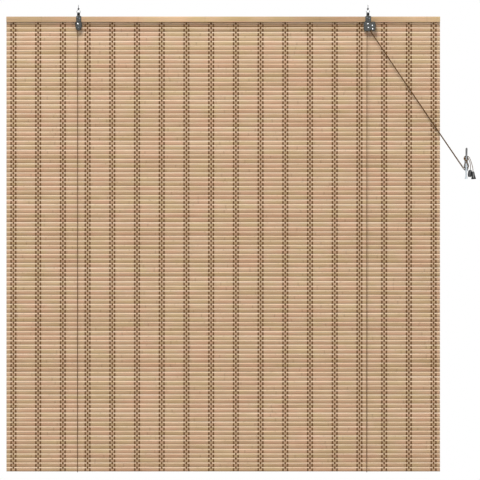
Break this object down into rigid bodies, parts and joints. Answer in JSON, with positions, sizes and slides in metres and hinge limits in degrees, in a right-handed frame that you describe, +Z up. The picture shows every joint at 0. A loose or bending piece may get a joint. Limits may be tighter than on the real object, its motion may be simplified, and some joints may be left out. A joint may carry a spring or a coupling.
{
  "type": "roll up blind",
  "caption": "Hanging bamboo roll up blind of flat slats and round sticks, with battens, cord pulley, cord lock, lift cords, hooks and cleat.",
  "frame": {"origin": "midway between the two hooks, where their collars meet the lintel", "axes": "+Z up, +X to the right seen from the room, -Y towards the room"},
  "size_m": [1.6223, 0.0499, 1.6186],
  "materials": {
    "bamboo": "satin",
    "batten_wood": "satin",
    "warp_yarn": "matt",
    "cord_yarn": "matt",
    "dark_steel": "satin",
    "cleat_steel": "satin",
    "zinc_steel": "satin",
    "bright_chrome": "polished",
    "nylon": "matt",
    "black_tassel": "gloss"
  },
  "bodies": {
    "blind_head": {"head_rail": "batten_wood", "rear_batten": "batten_wood", "batten_screws": "zinc_steel", "pulley_screws": "zinc_steel", "screw_hooks": "bright_chrome", "mat_top": "bamboo", "warp_threads": "warp_yarn", "left_case_back": "dark_steel", "left_case_cover": "dark_steel", "left_axle": "zinc_steel", "left_rivet": "zinc_steel", "lock_case_back": "dark_steel", "lock_case_cover": "dark_steel", "lock_axle": "zinc_steel", "lock_pins": "zinc_steel", "cleat": "cleat_steel", "cleat_screws": "zinc_steel", "left_cord": "cord_yarn", "right_cord": "cord_yarn", "left_tassel": "black_tassel", "right_tassel": "black_tassel"},
    "mat_01": {"mat_01": "bamboo"},
    "mat_02": {"mat_02": "bamboo"},
    "mat_03": {"mat_03": "bamboo"},
    "mat_04": {"mat_04": "bamboo"},
    "mat_05": {"mat_05": "bamboo"},
    "mat_06": {"mat_06": "bamboo"},
    "mat_07": {"mat_07": "bamboo"},
    "mat_08": {"mat_08": "bamboo"},
    "mat_09": {"mat_09": "bamboo"},
    "mat_10": {"mat_10": "bamboo"},
    "mat_11": {"mat_11": "bamboo"},
    "mat_12": {"mat_12": "bamboo"},
    "mat_13": {"mat_13": "bamboo"},
    "mat_14": {"mat_14": "bamboo"},
    "mat_15": {"mat_15": "bamboo"},
    "mat_16": {"mat_16": "bamboo"},
    "mat_17": {"mat_17": "bamboo"},
    "mat_18": {"mat_18": "bamboo"},
    "mat_19": {"mat_19": "bamboo"},
    "mat_20": {"mat_20": "bamboo"},
    "mat_21": {"mat_21": "bamboo"},
    "mat_22": {"mat_22": "bamboo"},
    "mat_23": {"mat_23": "bamboo"},
    "mat_24": {"mat_24": "bamboo"},
    "mat_25": {"mat_25": "bamboo"},
    "mat_26": {"mat_26": "bamboo"},
    "mat_27": {"mat_27": "bamboo"},
    "mat_28": {"mat_28": "bamboo"},
    "mat_29": {"mat_29": "bamboo"},
    "mat_30": {"mat_30": "bamboo"},
    "mat_31": {"mat_31": "bamboo"},
    "mat_32": {"mat_32": "bamboo"},
    "mat_33": {"mat_33": "bamboo"},
    "left_sheave": {"left_sheave": "nylon"},
    "lock_sheave_rear": {"lock_sheave_rear": "nylon"},
    "lock_sheave_front": {"lock_sheave_front": "nylon"},
    "lock_cam": {"lock_cam": "zinc_steel"}
  },
  "joints": [
    {"name": "roll_01", "type": "hinge", "parent": "blind_head", "child": "mat_01", "pos_m": [0, 0.0111, -0.17734], "axis": [-1, 0, 0], "range_deg": [0, 19.68], "deforming": ["left_cord", "right_cord", "warp_threads"]},
    {"name": "roll_02", "type": "hinge", "parent": "mat_01", "child": "mat_02", "pos_m": [0, 0.0111, -0.22438], "axis": [-1, 0, 0], "range_deg": [0, 35.8]},
    {"name": "roll_03", "type": "hinge", "parent": "mat_02", "child": "mat_03", "pos_m": [0, 0.0111, -0.27142], "axis": [-1, 0, 0], "range_deg": [0, 36.39]},
    {"name": "roll_04", "type": "hinge", "parent": "mat_03", "child": "mat_04", "pos_m": [0, 0.0111, -0.31846], "axis": [-1, 0, 0], "range_deg": [0, 37.01]},
    {"name": "roll_05", "type": "hinge", "parent": "mat_04", "child": "mat_05", "pos_m": [0, 0.0111, -0.3655], "axis": [-1, 0, 0], "range_deg": [0, 37.66]},
    {"name": "roll_06", "type": "hinge", "parent": "mat_05", "child": "mat_06", "pos_m": [0, 0.0111, -0.41254], "axis": [-1, 0, 0], "range_deg": [0, 38.35]},
    {"name": "roll_07", "type": "hinge", "parent": "mat_06", "child": "mat_07", "pos_m": [0, 0.0111, -0.45958], "axis": [-1, 0, 0], "range_deg": [0, 39.09]},
    {"name": "roll_08", "type": "hinge", "parent": "mat_07", "child": "mat_08", "pos_m": [0, 0.0111, -0.50662], "axis": [-1, 0, 0], "range_deg": [0, 39.86]},
    {"name": "roll_09", "type": "hinge", "parent": "mat_08", "child": "mat_09", "pos_m": [0, 0.0111, -0.55366], "axis": [-1, 0, 0], "range_deg": [0, 40.69]},
    {"name": "roll_10", "type": "hinge", "parent": "mat_09", "child": "mat_10", "pos_m": [0, 0.0111, -0.6007], "axis": [-1, 0, 0], "range_deg": [0, 41.57]},
    {"name": "roll_11", "type": "hinge", "parent": "mat_10", "child": "mat_11", "pos_m": [0, 0.0111, -0.64774], "axis": [-1, 0, 0], "range_deg": [0, 42.51]},
    {"name": "roll_12", "type": "hinge", "parent": "mat_11", "child": "mat_12", "pos_m": [0, 0.0111, -0.69478], "axis": [-1, 0, 0], "range_deg": [0, 43.51]},
    {"name": "roll_13", "type": "hinge", "parent": "mat_12", "child": "mat_13", "pos_m": [0, 0.0111, -0.74182], "axis": [-1, 0, 0], "range_deg": [0, 44.6]},
    {"name": "roll_14", "type": "hinge", "parent": "mat_13", "child": "mat_14", "pos_m": [0, 0.0111, -0.78886], "axis": [-1, 0, 0], "range_deg": [0, 45.77]},
    {"name": "roll_15", "type": "hinge", "parent": "mat_14", "child": "mat_15", "pos_m": [0, 0.0111, -0.8359], "axis": [-1, 0, 0], "range_deg": [0, 47.04]},
    {"name": "roll_16", "type": "hinge", "parent": "mat_15", "child": "mat_16", "pos_m": [0, 0.0111, -0.88294], "axis": [-1, 0, 0], "range_deg": [0, 48.43]},
    {"name": "roll_17", "type": "hinge", "parent": "mat_16", "child": "mat_17", "pos_m": [0, 0.0111, -0.92998], "axis": [-1, 0, 0], "range_deg": [0, 49.95]},
    {"name": "roll_18", "type": "hinge", "parent": "mat_17", "child": "mat_18", "pos_m": [0, 0.0111, -0.97702], "axis": [-1, 0, 0], "range_deg": [0, 51.62]},
    {"name": "roll_19", "type": "hinge", "parent": "mat_18", "child": "mat_19", "pos_m": [0, 0.0111, -1.02406], "axis": [-1, 0, 0], "range_deg": [0, 53.49]},
    {"name": "roll_20", "type": "hinge", "parent": "mat_19", "child": "mat_20", "pos_m": [0, 0.0111, -1.0711], "axis": [-1, 0, 0], "range_deg": [0, 55.58]},
    {"name": "roll_21", "type": "hinge", "parent": "mat_20", "child": "mat_21", "pos_m": [0, 0.0111, -1.11814], "axis": [-1, 0, 0], "range_deg": [0, 57.94]},
    {"name": "roll_22", "type": "hinge", "parent": "mat_21", "child": "mat_22", "pos_m": [0, 0.0111, -1.16518], "axis": [-1, 0, 0], "range_deg": [0, 60.65]},
    {"name": "roll_23", "type": "hinge", "parent": "mat_22", "child": "mat_23", "pos_m": [0, 0.0111, -1.21222], "axis": [-1, 0, 0], "range_deg": [0, 63.8]},
    {"name": "roll_24", "type": "hinge", "parent": "mat_23", "child": "mat_24", "pos_m": [0, 0.0111, -1.25926], "axis": [-1, 0, 0], "range_deg": [0, 67.53]},
    {"name": "roll_25", "type": "hinge", "parent": "mat_24", "child": "mat_25", "pos_m": [0, 0.0111, -1.3063], "axis": [-1, 0, 0], "range_deg": [0, 72.04]},
    {"name": "roll_26", "type": "hinge", "parent": "mat_25", "child": "mat_26", "pos_m": [0, 0.0111, -1.35334], "axis": [-1, 0, 0], "range_deg": [0, 62.81]},
    {"name": "roll_27", "type": "hinge", "parent": "mat_26", "child": "mat_27", "pos_m": [0, 0.0111, -1.3847], "axis": [-1, 0, 0], "range_deg": [0, 51.87]},
    {"name": "roll_28", "type": "hinge", "parent": "mat_27", "child": "mat_28", "pos_m": [0, 0.0111, -1.41606], "axis": [-1, 0, 0], "range_deg": [0, 54.8]},
    {"name": "roll_29", "type": "hinge", "parent": "mat_28", "child": "mat_29", "pos_m": [0, 0.0111, -1.44742], "axis": [-1, 0, 0], "range_deg": [0, 58.3]},
    {"name": "roll_30", "type": "hinge", "parent": "mat_29", "child": "mat_30", "pos_m": [0, 0.0111, -1.47878], "axis": [-1, 0, 0], "range_deg": [0, 62.61]},
    {"name": "roll_31", "type": "hinge", "parent": "mat_30", "child": "mat_31", "pos_m": [0, 0.0111, -1.51014], "axis": [-1, 0, 0], "range_deg": [0, 68.12]},
    {"name": "roll_32", "type": "hinge", "parent": "mat_31", "child": "mat_32", "pos_m": [0, 0.0111, -1.5415], "axis": [-1, 0, 0], "range_deg": [0, 75.55]},
    {"name": "roll_33", "type": "hinge", "parent": "mat_32", "child": "mat_33", "pos_m": [0, 0.0111, -1.57286], "axis": [-1, 0, 0], "range_deg": [0, 86.55]},
    {"name": "left_sheave_spin", "type": "hinge", "parent": "blind_head", "child": "left_sheave", "pos_m": [-0.4996, -0.003, -0.0667], "axis": [0, 1, 0], "continuous": true},
    {"name": "lock_sheave_rear_spin", "type": "hinge", "parent": "blind_head", "child": "lock_sheave_rear", "pos_m": [0.5016, -0.003, -0.0667], "axis": [0, 1, 0], "continuous": true},
    {"name": "lock_sheave_front_spin", "type": "hinge", "parent": "blind_head", "child": "lock_sheave_front", "pos_m": [0.5016, -0.0075, -0.0667], "axis": [0, 1, 0], "continuous": true},
    {"name": "lock_cam_tilt", "type": "hinge", "parent": "blind_head", "child": "lock_cam", "pos_m": [0.5152, -0.0049, -0.0596], "axis": [0, 1, 0], "range_deg": [0, 35]}
  ],
  "couplings": [
    {"joint": "roll_02", "follows": "roll_01", "ratio": 1.8182},
    {"joint": "roll_03", "follows": "roll_01", "ratio": 1.8482},
    {"joint": "roll_04", "follows": "roll_01", "ratio": 1.8798},
    {"joint": "roll_05", "follows": "roll_01", "ratio": 1.9131},
    {"joint": "roll_06", "follows": "roll_01", "ratio": 1.9482},
    {"joint": "roll_07", "follows": "roll_01", "ratio": 1.9854},
    {"joint": "roll_08", "follows": "roll_01", "ratio": 2.0248},
    {"joint": "roll_09", "follows": "roll_01", "ratio": 2.0667},
    {"joint": "roll_10", "follows": "roll_01", "ratio": 2.1114},
    {"joint": "roll_11", "follows": "roll_01", "ratio": 2.1591},
    {"joint": "roll_12", "follows": "roll_01", "ratio": 2.2103},
    {"joint": "roll_13", "follows": "roll_01", "ratio": 2.2654},
    {"joint": "roll_14", "follows": "roll_01", "ratio": 2.3249},
    {"joint": "roll_15", "follows": "roll_01", "ratio": 2.3895},
    {"joint": "roll_16", "follows": "roll_01", "ratio": 2.46},
    {"joint": "roll_17", "follows": "roll_01", "ratio": 2.5372},
    {"joint": "roll_18", "follows": "roll_01", "ratio": 2.6224},
    {"joint": "roll_19", "follows": "roll_01", "ratio": 2.7171},
    {"joint": "roll_20", "follows": "roll_01", "ratio": 2.8232},
    {"joint": "roll_21", "follows": "roll_01", "ratio": 2.9434},
    {"joint": "roll_22", "follows": "roll_01", "ratio": 3.081},
    {"joint": "roll_23", "follows": "roll_01", "ratio": 3.2409},
    {"joint": "roll_24", "follows": "roll_01", "ratio": 3.4303},
    {"joint": "roll_25", "follows": "roll_01", "ratio": 3.6599},
    {"joint": "roll_26", "follows": "roll_01", "ratio": 3.1905},
    {"joint": "roll_27", "follows": "roll_01", "ratio": 2.635},
    {"joint": "roll_28", "follows": "roll_01", "ratio": 2.7835},
    {"joint": "roll_29", "follows": "roll_01", "ratio": 2.9615},
    {"joint": "roll_30", "follows": "roll_01", "ratio": 3.1807},
    {"joint": "roll_31", "follows": "roll_01", "ratio": 3.4606},
    {"joint": "roll_32", "follows": "roll_01", "ratio": 3.8382},
    {"joint": "roll_33", "follows": "roll_01", "ratio": 4.397}
  ]
}
